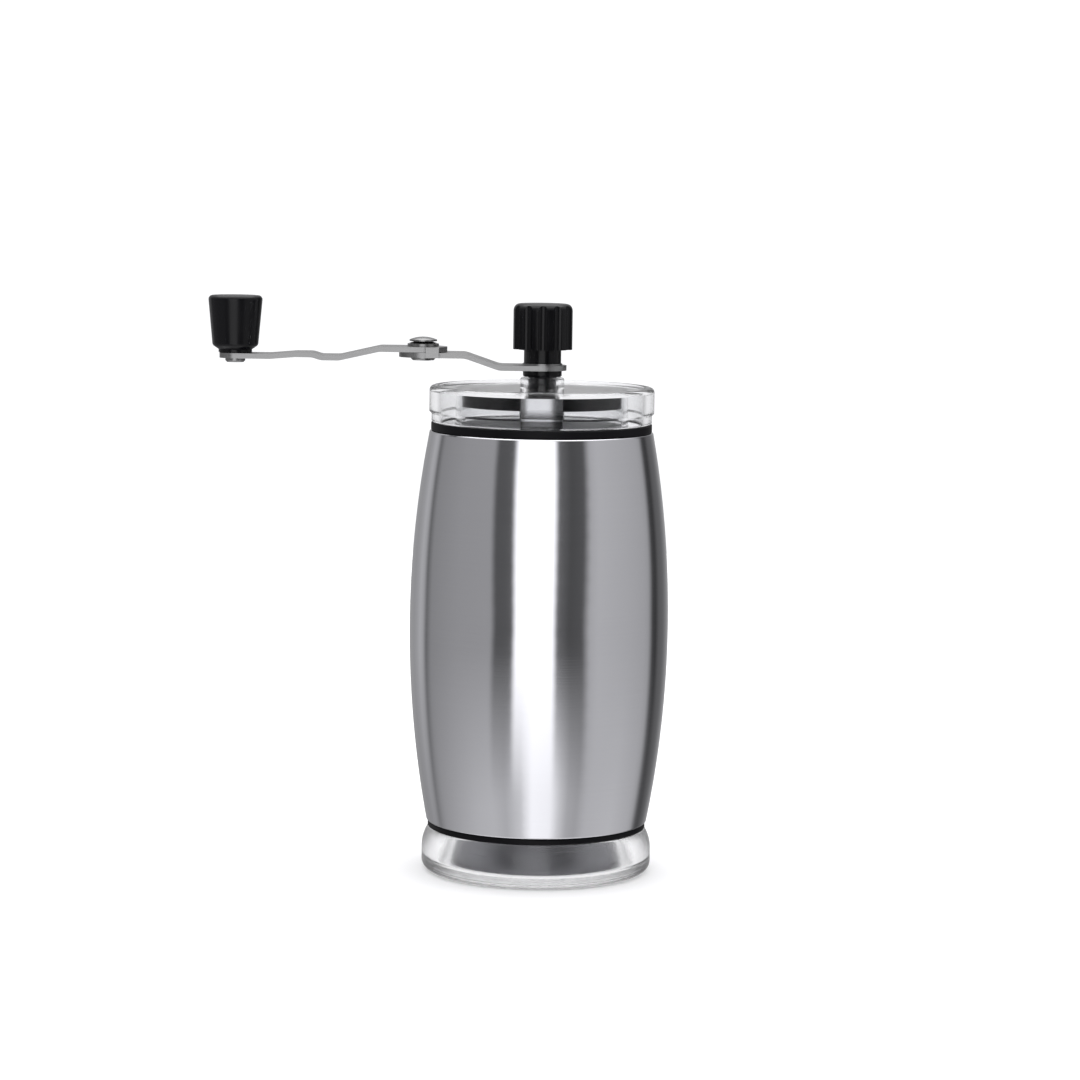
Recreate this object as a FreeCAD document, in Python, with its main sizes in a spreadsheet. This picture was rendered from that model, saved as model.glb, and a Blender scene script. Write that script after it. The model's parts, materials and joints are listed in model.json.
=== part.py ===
import FreeCAD, Part
import math
import os
import Sketcher

# Hand crank coffee grinder, built in millimetres.
# Z points up along the drive shaft, z = 0 is the underside of the clear base,
# and the crank points to -X at rest.

doc = FreeCAD.newDocument("HandGrinder")
sheet = doc.addObject("Spreadsheet::Sheet", "Sizes")
V = FreeCAD.Vector

# Driving sizes. Names ending in _radius are radii, all others are lengths,
# counts or angles as the name says.
SIZES = [
    # clear base and grounds cup
    ("base_radius", 36.0),
    ("base_height", 13.5),
    ("base_shoulder_radius", 34.0),
    ("base_shoulder_drop", 6.5),
    ("base_foot_round", 3.0),
    ("base_wall", 3.2),
    ("base_floor", 2.4),
    ("base_inner_round", 2.0),
    ("holder_radius", 26.8),
    ("holder_rise", 10.5),
    ("cup_radius", 25.6),
    ("cup_wall", 0.8),
    ("cup_lift", 0.6),
    ("cup_round", 5.0),
    ("cup_height", 49.0),
    # steel barrel and its two seals
    ("lower_seal_height", 2.0),
    ("lower_seal_radius", 34.2),
    ("upper_seal_height", 2.7),
    ("upper_seal_radius", 34.4),
    ("seal_bore_radius", 31.4),
    ("seal_round", 0.5),
    ("barrel_height", 122.5),
    ("barrel_foot_radius", 34.6),
    ("barrel_belly_radius", 40.45),
    ("barrel_top_radius", 34.8),
    ("barrel_wall", 0.8),
    ("barrel_lip_radius", 29.4),
    ("barrel_edge_round", 0.6),
    # liner inside the barrel: hopper above, burr housing in the middle, skirt below
    ("liner_radius", 29.0),
    ("liner_wall", 2.0),
    ("liner_flange_height", 2.2),
    ("hopper_bore_radius", 25.0),
    ("hopper_radius", 24.0),
    ("lid_socket_depth", 10.2),
    ("bridge_seat_depth", 18.2),
    ("funnel_top_depth", 28.2),
    ("funnel_bottom_depth", 45.2),
    ("throat_radius", 14.0),
    ("throat_height", 4.0),
    ("burr_seat_wall", 4.5),
    ("burr_seat_core", 13.0),
    ("hub_radius", 6.6),
    ("hub_height", 7.0),
    ("hub_drop", 36.2),
    ("hub_spoke_width", 3.0),
    ("hub_spoke_reach", 21.0),
    ("hub_spokes", 3.0),
    # bridge that carries the top of the shaft
    ("bridge_radius", 24.8),
    ("bridge_ring_wall", 2.8),
    ("bridge_ring_height", 4.0),
    ("bridge_rise", 9.6),
    ("bridge_foot_height", 4.0),
    ("bridge_hub_radius", 7.0),
    ("bridge_hub_height", 8.8),
    ("bridge_hub_step", 1.8),
    ("bridge_spoke_width", 6.0),
    ("bridge_spoke_height", 3.2),
    ("bridge_leg_width", 12.5),
    ("bridge_leg_back", 22.9),
    ("bridge_foot_width", 16.0),
    ("bridge_legs", 2.0),
    # shaft and its bearings
    ("shaft_radius", 3.0),
    ("shaft_flat", 2.3),
    ("shaft_thread_radius", 2.5),
    ("shaft_bottom", 54.0),
    ("shaft_foot_thread", 13.6),
    ("shaft_lower_flats", 34.0),
    ("shaft_upper_flats", 22.0),
    ("shaft_key_top", 158.5),
    ("shaft_top", 171.5),
    ("shaft_chamfer", 0.5),
    ("clip_groove_radius", 2.4),
    ("clip_radius", 5.0),
    ("clip_height", 0.7),
    ("clip_mouth", 4.4),
    ("run_gap", 0.04),
    ("slide_gap", 0.05),
    ("upper_bush_radius", 4.2),
    ("lower_bush_radius", 4.6),
    ("bush_flange_height", 1.0),
    ("upper_flange_radius", 5.6),
    ("lower_flange_radius", 6.2),
    ("thrust_radius", 6.0),
    ("thrust_height", 0.75),
    ("washer_bore_radius", 3.1),
    # burrs and grind setting
    ("ring_burr_radius", 20.0),
    ("ring_burr_height", 20.0),
    ("ring_burr_foot_radius", 15.8),
    ("ring_burr_neck_radius", 12.6),
    ("ring_burr_neck_height", 8.5),
    ("ring_burr_teeth", 20.0),
    ("ring_tooth_gap", 1.5),
    ("tooth_depth", 1.0),
    ("cone_burr_radius", 15.2),
    ("cone_burr_top_radius", 7.0),
    ("cone_burr_height", 18.0),
    ("cone_burr_band", 2.0),
    ("cone_burr_bottom", 68.0),
    ("cone_burr_teeth", 12.0),
    ("cone_tooth_gap", 1.8),
    ("retainer_bore_radius", 17.0),
    ("retainer_height", 2.0),
    ("screw_circle_radius", 22.2),
    ("screw_radius", 1.25),
    ("screw_head_radius", 2.2),
    ("screw_head_height", 1.4),
    ("screw_length", 8.0),
    ("screw_count", 3.0),
    ("spring_radius", 4.5),
    ("spring_wire_radius", 0.45),
    ("spring_turns", 5.0),
    ("spring_seat_height", 0.8),
    ("spring_seat_gap", 0.3),
    ("click_radius", 10.0),
    ("click_height", 1.2),
    ("click_dimple_radius", 0.9),
    ("click_dimple_circle", 7.6),
    ("click_dimples", 12.0),
    ("adjuster_radius", 12.5),
    ("adjuster_height", 9.0),
    ("adjuster_gap", 0.2),
    ("adjuster_scoop_radius", 3.2),
    ("adjuster_scoop_circle", 14.4),
    ("adjuster_scoops", 8.0),
    ("adjuster_hub_radius", 6.0),
    ("adjuster_recess", 3.5),
    ("adjuster_rim", 2.2),
    # clear lid
    ("lid_radius", 35.0),
    ("lid_step_radius", 34.3),
    ("lid_step_height", 2.6),
    ("lid_height", 11.3),
    ("lid_wall", 3.4),
    ("lid_plate", 1.2),
    ("lid_rim_height", 0.7),
    ("lid_rim_width", 3.0),
    ("lid_round", 1.5),
    ("lid_plug_radius", 26.8),
    ("lid_plug_wall", 1.5),
    ("lid_plug_drop", 8.7),
    ("lid_boss_radius", 6.85),
    ("lid_boss_rise", 3.4),
    # crank
    ("collar_neck_radius", 4.4),
    ("collar_neck_height", 5.1),
    ("collar_gap", 0.3),
    ("collar_flange_radius", 6.05),
    ("collar_flange_height", 2.0),
    ("strip_height", 1.6),
    ("arm_eye_radius", 7.5),
    ("arm_fold_reach", 37.1),
    ("arm_bend_near", 13.4),
    ("arm_bend_far", 24.0),
    ("arm_rise", 3.6),
    ("arm_gap", 0.1),
    ("arm_bend_round", 7.0),
    ("outer_bend_round", 5.0),
    ("arm_tip_radius", 4.9),
    ("grip_reach", 95.5),
    ("outer_drop_start", 50.5),
    ("outer_drop_end", 63.0),
    ("outer_drop", 2.9),
    ("outer_rib_start", 68.6),
    ("outer_rib_crest", 71.4),
    ("outer_rib_end", 76.5),
    ("outer_rib_rise", 0.85),
    ("outer_tail_start", 84.5),
    ("outer_tail_rise", 0.15),
    ("stop_lug_near", 32.0),
    ("stop_lug_far", 36.0),
    ("stop_lug_gap", 0.15),
    ("stop_lug_width", 1.6),
    ("stop_lug_drop", 1.6),
    ("rivet_radius", 2.5),
    ("rivet_foot_radius", 3.8),
    ("rivet_foot_height", 1.0),
    ("rivet_foot_chamfer", 0.5),
    ("rivet_head_radius", 4.3),
    ("rivet_head_height", 0.45),
    ("rivet_dome_height", 0.9),
    ("fold_washer_radius", 4.9),
    ("fold_washer_height", 0.8),
    ("fold_washer_dish", 0.75),
    # thumb nut
    ("lock_washer_radius", 6.2),
    ("lock_washer_height", 0.5),
    ("nut_neck_radius", 5.8),
    ("nut_neck_height", 4.35),
    ("nut_radius", 9.3),
    ("nut_height", 14.15),
    ("nut_round", 2.2),
    ("nut_flutes", 12.0),
    ("nut_flute_radius", 1.9),
    ("nut_flute_circle", 10.4),
    ("nut_socket_radius", 4.0),
    ("nut_socket_depth", 10.85),
    ("nut_relief_depth", 3.2),
    ("nut_insert_height", 10.0),
    # grip knob
    ("grip_gap", 0.15),
    ("grip_neck_radius", 5.2),
    ("grip_neck_height", 0.9),
    ("grip_shoulder_radius", 7.1),
    ("grip_shoulder_height", 1.3),
    ("grip_top_radius", 8.5),
    ("grip_height", 17.65),
    ("grip_round", 1.3),
    ("grip_cap_radius", 6.0),
    ("grip_cap_height", 2.2),
    ("grip_cap_crown", 0.1),
    ("grip_well_radius", 5.0),
    ("grip_well_depth", 7.7),
    ("pin_radius", 2.2),
    ("pin_foot_radius", 3.1),
    ("pin_foot_height", 1.3),
    ("pin_head_radius", 3.9),
    ("pin_head_height", 1.2),
    ("pin_head_gap", 0.1),
]


class Dim:
    """A number together with the expression that drives it."""

    def __init__(self, text, value):
        self.text = text
        self.value = value

    def _join(self, sign, other, value):
        return Dim("(%s %s %s)" % (self.text, sign, dim(other).text), value)

    def __add__(self, other):
        return self._join("+", other, self.value + dim(other).value)

    def __sub__(self, other):
        return self._join("-", other, self.value - dim(other).value)

    def __mul__(self, other):
        return self._join("*", other, self.value * dim(other).value)

    def __truediv__(self, other):
        return self._join("/", other, self.value / dim(other).value)

    def __neg__(self):
        return Dim("(-1 * %s)" % self.text, -self.value)


def dim(number):
    """Any number as a Dim."""
    if isinstance(number, Dim):
        return number
    return Dim(repr(float(number)), float(number))


def root(square):
    """Square root of a Dim."""
    return Dim("sqrt(%s)" % square.text, math.sqrt(square.value))


class Sizes:
    """The driving sizes by name."""


size = Sizes()
for row, (name, value) in enumerate(SIZES, 1):
    sheet.set("A%d" % row, name)
    sheet.set("B%d" % row, str(value))
    sheet.setAlias("B%d" % row, name)
    setattr(size, name, Dim("Sizes." + name, value))
doc.recompute()


# Sketch and feature helpers

def new_body(label):
    return doc.addObject("PartDesign::Body", label)


def datum(body, role):
    """An origin plane or axis of the body by its role."""
    return next(item for item in body.Origin.OriginFeatures if item.Role == role)


def new_sketch(body, name, role, height=None):
    """A sketch on an origin plane of the body, raised by height."""
    sketch = body.newObject("Sketcher::SketchObject", name)
    sketch.AttachmentSupport = [(datum(body, role), "")]
    sketch.MapMode = "FlatFace"
    if height is not None:
        sketch.AttachmentOffset = FreeCAD.Placement(V(0, 0, height.value), FreeCAD.Rotation())
        sketch.setExpression("AttachmentOffset.Base.z", height.text)
    return sketch


def hold(sketch, constraint, driver):
    """Add a constraint and drive it from the sizes."""
    index = sketch.addConstraint(constraint)
    if "Sizes." in driver.text:
        sketch.setExpression("Constraints[%d]" % index, driver.text)


def pin(sketch, geometry, end, x, y):
    """Fix one point of a sketch element at x, y."""
    for axis, kind, place in ((-2, "DistanceX", dim(x)), (-1, "DistanceY", dim(y))):
        if abs(place.value) < 1e-9:
            sketch.addConstraint(Sketcher.Constraint("PointOnObject", geometry, end, axis))
        else:
            rule = Sketcher.Constraint(kind, -1, 1, geometry, end, place.value)
            hold(sketch, rule, place)


def arc_between(start, end, radius, turn):
    """The short arc from start to end; turn is 1 for counter-clockwise, -1 for clockwise."""
    chord = end - start
    rise = math.sqrt(max(radius ** 2 - (chord.Length / 2) ** 2, 0.0))
    side = V(-chord.y, chord.x, 0) * (turn * rise / chord.Length)
    centre = (start + end) * 0.5 + side
    first, last = (start, end) if turn > 0 else (end, start)
    angle_first = math.atan2(first.y - centre.y, first.x - centre.x)
    angle_last = math.atan2(last.y - centre.y, last.x - centre.x)
    if angle_last < angle_first:
        angle_last += 2 * math.pi
    return Part.ArcOfCircle(Part.Circle(centre, V(0, 0, 1), radius), angle_first, angle_last)


def draw_outline(sketch, points):
    """A closed outline. A point is (x, y), or (x, y, radius, turn) when an arc leaves it."""
    count = len(points)
    places = [V(dim(point[0]).value, dim(point[1]).value, 0) for point in points]
    starts = []
    ends = []
    pieces = []
    for index, point in enumerate(points):
        here = places[index]
        there = places[(index + 1) % count]
        if len(point) == 4:
            piece = sketch.addGeometry(arc_between(here, there, point[2].value, point[3]))
            starts.append(1 if point[3] > 0 else 2)
            ends.append(2 if point[3] > 0 else 1)
        else:
            piece = sketch.addGeometry(Part.LineSegment(here, there))
            starts.append(1)
            ends.append(2)
        pieces.append(piece)
    for index in range(count):
        rule = Sketcher.Constraint("Coincident", pieces[index - 1], ends[index - 1],
                                   pieces[index], starts[index])
        sketch.addConstraint(rule)
    for index, point in enumerate(points):
        pin(sketch, pieces[index], starts[index], point[0], point[1])
        if len(point) == 4:
            rule = Sketcher.Constraint("Radius", pieces[index], point[2].value)
            hold(sketch, rule, point[2])


def draw_circle(sketch, x, y, radius):
    circle = sketch.addGeometry(Part.Circle(V(dim(x).value, dim(y).value, 0), V(0, 0, 1), radius.value))
    pin(sketch, circle, 3, x, y)
    hold(sketch, Sketcher.Constraint("Radius", circle, radius.value), radius)


def draw_box(sketch, x_low, x_high, y_low, y_high):
    draw_outline(sketch, [(x_low, y_low), (x_high, y_low), (x_high, y_high), (x_low, y_high)])


def draw_double_d(sketch, radius, flat):
    """A round bar section with two flats facing +Y and -Y."""
    half = root(radius * radius - flat * flat)
    draw_outline(sketch, [(half, -flat, radius, 1), (half, flat), (-half, flat, radius, 1), (-half, -flat)])


def turn_about_z(body, points):
    """Turn an outline of (radius, height) points about the Z axis of the body."""
    sketch = new_sketch(body, body.Label + "_outline", "XZ_Plane")
    draw_outline(sketch, points)
    feature = body.newObject("PartDesign::Revolution", body.Label + "_turned")
    feature.Profile = sketch
    feature.ReferenceAxis = (sketch, ["V_Axis"])
    feature.Angle = 360.0
    doc.recompute()
    return feature


def pad(body, name, sketch, length):
    """Raise a sketch upward by length."""
    feature = body.newObject("PartDesign::Pad", name)
    feature.Profile = sketch
    feature.setExpression("Length", dim(length).text)
    doc.recompute()
    return feature


def pocket(body, name, sketch, length, midplane=False):
    """Cut a sketch upward by length, or to both sides of its plane."""
    before = body.Shape.Volume
    feature = body.newObject("PartDesign::Pocket", name)
    feature.Profile = sketch
    feature.Length = dim(length).value
    if "Sizes." in dim(length).text:
        feature.setExpression("Length", dim(length).text)
    feature.Reversed = not midplane
    feature.Midplane = midplane
    doc.recompute()
    if body.Shape.Volume >= before - 1e-6:
        raise ValueError("nothing was cut by " + name)
    return feature


def around_z(body, name, feature, count):
    """Repeat a feature evenly about the Z axis of the body."""
    pattern = body.newObject("PartDesign::PolarPattern", name)
    pattern.Originals = [feature]
    pattern.Axis = (datum(body, "Z_Axis"), [""])
    pattern.Angle = 360.0
    pattern.Occurrences = int(count.value)
    pattern.setExpression("Occurrences", count.text)
    body.Tip = pattern
    doc.recompute()
    return pattern


def rim_names(shape, places):
    """Names of the round edges that lie at the given (radius, height) places."""
    names = []
    for number, edge in enumerate(shape.Edges, 1):
        if edge.Degenerated or not isinstance(edge.Curve, Part.Circle):
            continue
        for radius, height in places:
            same_radius = abs(edge.Curve.Radius - dim(radius).value) < 1e-4
            same_height = abs(edge.Curve.Center.z - dim(height).value) < 1e-4
            if same_radius and same_height:
                names.append("Edge%d" % number)
    if len(names) < len(places):
        raise ValueError("an edge to soften was not found")
    return names


def soften(body, kind, places, amount):
    """Fillet or chamfer the round edges at the given (radius, height) places."""
    base = body.Tip
    names = rim_names(base.Shape, places)
    feature = body.newObject("PartDesign::" + kind, "%s_%s" % (body.Label, kind.lower()))
    feature.Base = (base, names)
    feature.setExpression("Radius" if kind == "Fillet" else "Size", amount.text)
    doc.recompute()
    return feature


def washer(label, bore, radius, bottom, height):
    """A flat ring standing on the plane z = bottom."""
    body = new_body(label)
    top = bottom + height
    turn_about_z(body, [(bore, bottom), (radius, bottom), (radius, top), (bore, top)])
    return body


def shift_x(body, place):
    """Move a body along X."""
    body.setExpression("Placement.Base.x", place.text)


# Heights that more than one piece uses

base_top = size.base_height
barrel_bottom = base_top + size.lower_seal_height
barrel_top = barrel_bottom + size.barrel_height
lid_bottom = barrel_top + size.upper_seal_height
lid_top = lid_bottom + size.lid_height
plate_top = lid_top - size.lid_rim_height
plate_bottom = plate_top - size.lid_plate
liner_top = barrel_top + size.liner_flange_height
seat_top = liner_top - size.funnel_bottom_depth - size.throat_height
seat_bottom = seat_top - size.ring_burr_height
hub_bottom = liner_top - size.hub_drop - size.hub_height
hub_top = hub_bottom + size.hub_height
boss_top = plate_top + size.lid_boss_rise
collar_bottom = boss_top + size.collar_gap
arm_bottom = collar_bottom + size.collar_flange_height
arm_top = arm_bottom + size.strip_height
nut_bottom = arm_top + size.lock_washer_height + size.slide_gap
bridge_top = liner_top + size.bridge_rise
bridge_hub_top = bridge_top - size.bridge_hub_step

# Clear base: a thick walled dish, with a steel ring on its floor that holds the cup

base = new_body("clear_base")
shoulder_run = size.base_radius - size.base_shoulder_radius
shoulder_arc = (size.base_shoulder_drop * size.base_shoulder_drop
                + shoulder_run * shoulder_run) / (shoulder_run * 2)
base_bore = size.base_radius - size.base_wall - shoulder_run
turn_about_z(base, [
    (0, 0),
    (size.base_radius, 0),
    (size.base_radius, base_top - size.base_shoulder_drop, shoulder_arc, 1),
    (size.base_shoulder_radius, base_top),
    (base_bore, base_top),
    (base_bore, size.base_floor),
    (0, size.base_floor),
])
soften(base, "Fillet", [(size.base_radius, 0)], size.base_foot_round)
soften(base, "Fillet", [(base_bore, size.base_floor)], size.base_inner_round)
soften(base, "Fillet", [(size.base_shoulder_radius, base_top)], size.seal_round)

holder_height = base_top + size.holder_rise - size.base_floor
washer("cup_holder", size.cup_radius, size.holder_radius, size.base_floor, holder_height)

# Steel cup that catches the ground coffee, held by its wall just clear of the base

cup = new_body("grounds_cup")
cup_bottom = size.base_floor + size.cup_lift
cup_top = cup_bottom + size.cup_height
cup_bore = size.cup_radius - size.cup_wall
turn_about_z(cup, [
    (0, cup_bottom),
    (size.cup_radius, cup_bottom),
    (size.cup_radius, cup_top),
    (cup_bore, cup_top),
    (cup_bore, cup_bottom + size.cup_wall),
    (0, cup_bottom + size.cup_wall),
])
soften(cup, "Fillet", [(size.cup_radius, cup_bottom)], size.cup_round)
soften(cup, "Fillet", [(cup_bore, cup_bottom + size.cup_wall)], size.cup_round - size.cup_wall)

# Steel barrel: one bulged shell with a lip turned in at each end

barrel = new_body("barrel_shell")
bulge = size.barrel_belly_radius - (size.barrel_foot_radius + size.barrel_top_radius) / 2


def bulge_arc(half_height):
    """Radius of the arc that swells by the bulge over twice half_height."""
    return (half_height * half_height + bulge * bulge) / (bulge * 2)


outer_arc = bulge_arc(size.barrel_height / 2)
inner_arc = bulge_arc(size.barrel_height / 2 - size.barrel_wall)
inner_foot = size.barrel_foot_radius - size.barrel_wall
inner_top = size.barrel_top_radius - size.barrel_wall
lip_above = barrel_bottom + size.barrel_wall
lip_below = barrel_top - size.barrel_wall
turn_about_z(barrel, [
    (size.barrel_lip_radius, barrel_bottom),
    (size.barrel_foot_radius, barrel_bottom, outer_arc, 1),
    (size.barrel_top_radius, barrel_top),
    (size.barrel_lip_radius, barrel_top),
    (size.barrel_lip_radius, lip_below),
    (inner_top, lip_below, inner_arc, -1),
    (inner_foot, lip_above),
    (size.barrel_lip_radius, lip_above),
])
barrel_edges = [(size.barrel_foot_radius, barrel_bottom), (size.barrel_top_radius, barrel_top)]
soften(barrel, "Fillet", barrel_edges, size.barrel_edge_round)

# Rubber seals and the ring nut that holds the liner in the barrel

lower_seal = washer("lower_seal", size.seal_bore_radius, size.lower_seal_radius,
                    base_top, size.lower_seal_height)
lower_seal_edges = [(size.lower_seal_radius, base_top), (size.lower_seal_radius, barrel_bottom)]
soften(lower_seal, "Fillet", lower_seal_edges, size.seal_round)

upper_seal = washer("upper_seal", size.seal_bore_radius, size.upper_seal_radius,
                    barrel_top, size.upper_seal_height)
upper_seal_edges = [(size.upper_seal_radius, barrel_top), (size.upper_seal_radius, lid_bottom)]
soften(upper_seal, "Fillet", upper_seal_edges, size.seal_round)

washer("liner_ring", size.liner_radius, size.seal_bore_radius, base_top, size.lower_seal_height)

# Liner in three mouldings: hopper above, burr housing in the middle, skirt below

liner_bore = size.liner_radius - size.liner_wall
seat_wall_radius = size.ring_burr_radius + size.burr_seat_wall
socket_floor = liner_top - size.lid_socket_depth
bridge_seat = liner_top - size.bridge_seat_depth
funnel_top = liner_top - size.funnel_top_depth
funnel_bottom = liner_top - size.funnel_bottom_depth
core_top = seat_bottom + size.burr_seat_core

hopper = new_body("hopper")
turn_about_z(hopper, [
    (liner_bore, liner_top),
    (size.seal_bore_radius, liner_top),
    (size.seal_bore_radius, barrel_top),
    (size.liner_radius, barrel_top),
    (size.liner_radius, funnel_top),
    (size.hopper_radius, funnel_top),
    (size.hopper_radius, bridge_seat),
    (size.hopper_bore_radius, bridge_seat),
    (size.hopper_bore_radius, socket_floor),
    (liner_bore, socket_floor),
])

housing = new_body("burr_housing")
turn_about_z(housing, [
    (size.liner_radius, funnel_top),
    (size.liner_radius, core_top),
    (seat_wall_radius, core_top),
    (seat_wall_radius, seat_bottom),
    (size.ring_burr_radius, seat_bottom),
    (size.ring_burr_radius, seat_top),
    (size.throat_radius, seat_top),
    (size.throat_radius, funnel_bottom),
    (size.hopper_radius, funnel_top),
])
hub_sketch = new_sketch(housing, "hub_round", "XY_Plane", hub_bottom)
draw_circle(hub_sketch, 0, 0, size.hub_radius)
spoke_sketch = new_sketch(housing, "hub_spoke_plan", "XY_Plane", hub_bottom)
half_spoke = size.hub_spoke_width / 2
draw_box(spoke_sketch, dim(1), size.hub_spoke_reach, -half_spoke, half_spoke)
hub_spoke = pad(housing, "hub_spoke", spoke_sketch, size.hub_height)
around_z(housing, "hub_spoke_set", hub_spoke, size.hub_spokes)
pad(housing, "hub", hub_sketch, size.hub_height)
hub_bore_sketch = new_sketch(housing, "hub_bore_round", "XY_Plane", hub_bottom)
draw_circle(hub_bore_sketch, 0, 0, size.lower_bush_radius)
pocket(housing, "hub_bore", hub_bore_sketch, size.hub_height)
screw_hole_sketch = new_sketch(housing, "screw_hole_round", "XY_Plane", seat_bottom)
draw_circle(screw_hole_sketch, size.screw_circle_radius, 0, size.screw_radius + size.slide_gap)
screw_hole = pocket(housing, "screw_hole", screw_hole_sketch, size.screw_length + dim(0.5))
around_z(housing, "screw_holes", screw_hole, size.screw_count)

washer("liner_skirt", liner_bore, size.liner_radius, base_top, core_top - base_top)

# Bridge across the hopper mouth: a steel strap with a hub, two spokes, two legs and two feet

bridge = new_body("shaft_bridge")
bridge_hub_bottom = bridge_top - size.bridge_hub_height
ring_bottom = bridge_top - size.bridge_ring_height
turn_about_z(bridge, [
    (size.upper_bush_radius, bridge_hub_bottom),
    (size.bridge_hub_radius, bridge_hub_bottom),
    (size.bridge_hub_radius, bridge_top),
    (size.upper_flange_radius + dim(0.4), bridge_top),
    (size.upper_flange_radius + dim(0.4), bridge_hub_top),
    (size.upper_bush_radius, bridge_hub_top),
])
spoke_plan = new_sketch(bridge, "bridge_spoke_plan", "XY_Plane", ring_bottom - size.bridge_spoke_height)
half_spoke = size.bridge_spoke_width / 2
spoke_end = size.bridge_leg_back + dim(0.5)
draw_box(spoke_plan, -half_spoke, half_spoke, size.upper_flange_radius + dim(0.6), spoke_end)
bridge_spoke = pad(bridge, "bridge_spoke", spoke_plan, size.bridge_spoke_height)
around_z(bridge, "bridge_spokes", bridge_spoke, size.bridge_legs)


def bridge_blocks(name, width, radius, height):
    """Upright blocks on the bridge seat at +Y and -Y, flat inside and round outside."""
    sketch = new_sketch(bridge, name + "_plan", "XY_Plane", bridge_seat)
    half = width / 2
    side = root(radius * radius - half * half)
    draw_outline(sketch, [
        (-half, size.bridge_leg_back),
        (half, size.bridge_leg_back),
        (half, side, radius, 1),
        (-half, side),
    ])
    block = pad(bridge, name, sketch, height)
    around_z(bridge, name + "_pair", block, size.bridge_legs)


bridge_blocks("bridge_leg", size.bridge_leg_width, size.bridge_radius, bridge_top - bridge_seat)
bridge_blocks("bridge_foot", size.bridge_foot_width, size.hopper_bore_radius, size.bridge_foot_height)

# Black guard ring on the spokes, notched for the legs

ring_bore = size.bridge_radius - size.bridge_ring_wall
ring = washer("bridge_ring", ring_bore, size.bridge_radius, ring_bottom, size.bridge_ring_height)
notch_plan = new_sketch(ring, "ring_notch_plan", "XY_Plane", ring_bottom)
half_leg = size.bridge_leg_width / 2
draw_box(notch_plan, -half_leg, half_leg, size.bridge_leg_back, size.bridge_radius + dim(1))
notch = pocket(ring, "ring_notch", notch_plan, size.bridge_ring_height)
around_z(ring, "ring_notches", notch, size.bridge_legs)

# Shaft bushes


def bush(label, radius, flange_radius, bottom, top):
    """A plain bush with a flange on top."""
    body = new_body(label)
    bore = size.shaft_radius + size.run_gap
    flange_top = top + size.bush_flange_height
    turn_about_z(body, [
        (bore, bottom),
        (radius, bottom),
        (radius, top),
        (flange_radius, top),
        (flange_radius, flange_top),
        (bore, flange_top),
    ])


bush("upper_bush", size.upper_bush_radius, size.upper_flange_radius, bridge_hub_bottom, bridge_hub_top)
bush("lower_bush", size.lower_bush_radius, size.lower_flange_radius, hub_bottom, hub_top)

# Drive shaft with a thread at each end, and flats that run through the threads

shaft = new_body("drive_shaft")
thread_foot = size.shaft_bottom + size.shaft_foot_thread
thrust_bottom = hub_top + size.bush_flange_height + size.slide_gap
clip_bottom = thrust_bottom + size.thrust_height
clip_top = clip_bottom + size.clip_height
turn_about_z(shaft, [
    (0, size.shaft_bottom),
    (size.shaft_thread_radius, size.shaft_bottom),
    (size.shaft_thread_radius, thread_foot),
    (size.shaft_radius, thread_foot),
    (size.shaft_radius, clip_bottom),
    (size.clip_groove_radius, clip_bottom),
    (size.clip_groove_radius, clip_top),
    (size.shaft_radius, clip_top),
    (size.shaft_radius, size.shaft_key_top),
    (size.shaft_thread_radius, size.shaft_key_top),
    (size.shaft_thread_radius, size.shaft_top),
    (0, size.shaft_top),
])
shaft_ends = [(size.shaft_thread_radius, size.shaft_bottom), (size.shaft_thread_radius, size.shaft_top)]
soften(shaft, "Chamfer", shaft_ends, size.shaft_chamfer)


def cut_flats(name, bottom, length):
    """Two flats on the shaft, facing +Y and -Y."""
    sketch = new_sketch(shaft, name + "_plan", "XY_Plane", bottom)
    reach = size.shaft_radius + dim(1)
    draw_box(sketch, -reach, reach, size.shaft_flat, reach)
    draw_box(sketch, -reach, reach, -reach, -size.shaft_flat)
    pocket(shaft, name, sketch, length)


cut_flats("lower_flats", size.shaft_bottom, size.shaft_lower_flats)
cut_flats("upper_flats", size.shaft_top - size.shaft_upper_flats, size.shaft_upper_flats)

washer("thrust_washer", size.washer_bore_radius, size.thrust_radius, thrust_bottom, size.thrust_height)

clip = washer("shaft_clip", size.clip_groove_radius, size.clip_radius, clip_bottom, size.clip_height)
mouth_sketch = new_sketch(clip, "clip_mouth_plan", "XY_Plane", clip_bottom)
half_mouth = size.clip_mouth / 2
draw_box(mouth_sketch, dim(0.5), size.clip_radius + dim(1), -half_mouth, half_mouth)
pocket(clip, "clip_mouth_cut", mouth_sketch, size.clip_height)

# Burrs


def cut_teeth(body, points, gap, count):
    """Cut one tooth gap from an outline in the XZ plane and repeat it about Z."""
    sketch = new_sketch(body, body.Label + "_tooth_outline", "XZ_Plane")
    draw_outline(sketch, points)
    tooth = pocket(body, body.Label + "_tooth", sketch, gap, midplane=True)
    around_z(body, body.Label + "_teeth", tooth, count)


ring_burr = new_body("ring_burr")
neck_level = seat_bottom + size.ring_burr_neck_height
turn_about_z(ring_burr, [
    (size.ring_burr_foot_radius, seat_bottom),
    (size.ring_burr_radius, seat_bottom),
    (size.ring_burr_radius, seat_top),
    (size.throat_radius, seat_top),
    (size.ring_burr_neck_radius, neck_level),
])
cut_teeth(ring_burr, [
    (dim(9), seat_bottom - dim(1)),
    (size.ring_burr_foot_radius + size.tooth_depth, seat_bottom - dim(1)),
    (size.ring_burr_foot_radius + size.tooth_depth, seat_bottom),
    (size.ring_burr_neck_radius + size.tooth_depth, neck_level),
    (size.throat_radius + size.tooth_depth, seat_top),
    (size.throat_radius + size.tooth_depth, seat_top + dim(1)),
    (dim(9), seat_top + dim(1)),
], size.ring_tooth_gap, size.ring_burr_teeth)

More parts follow.
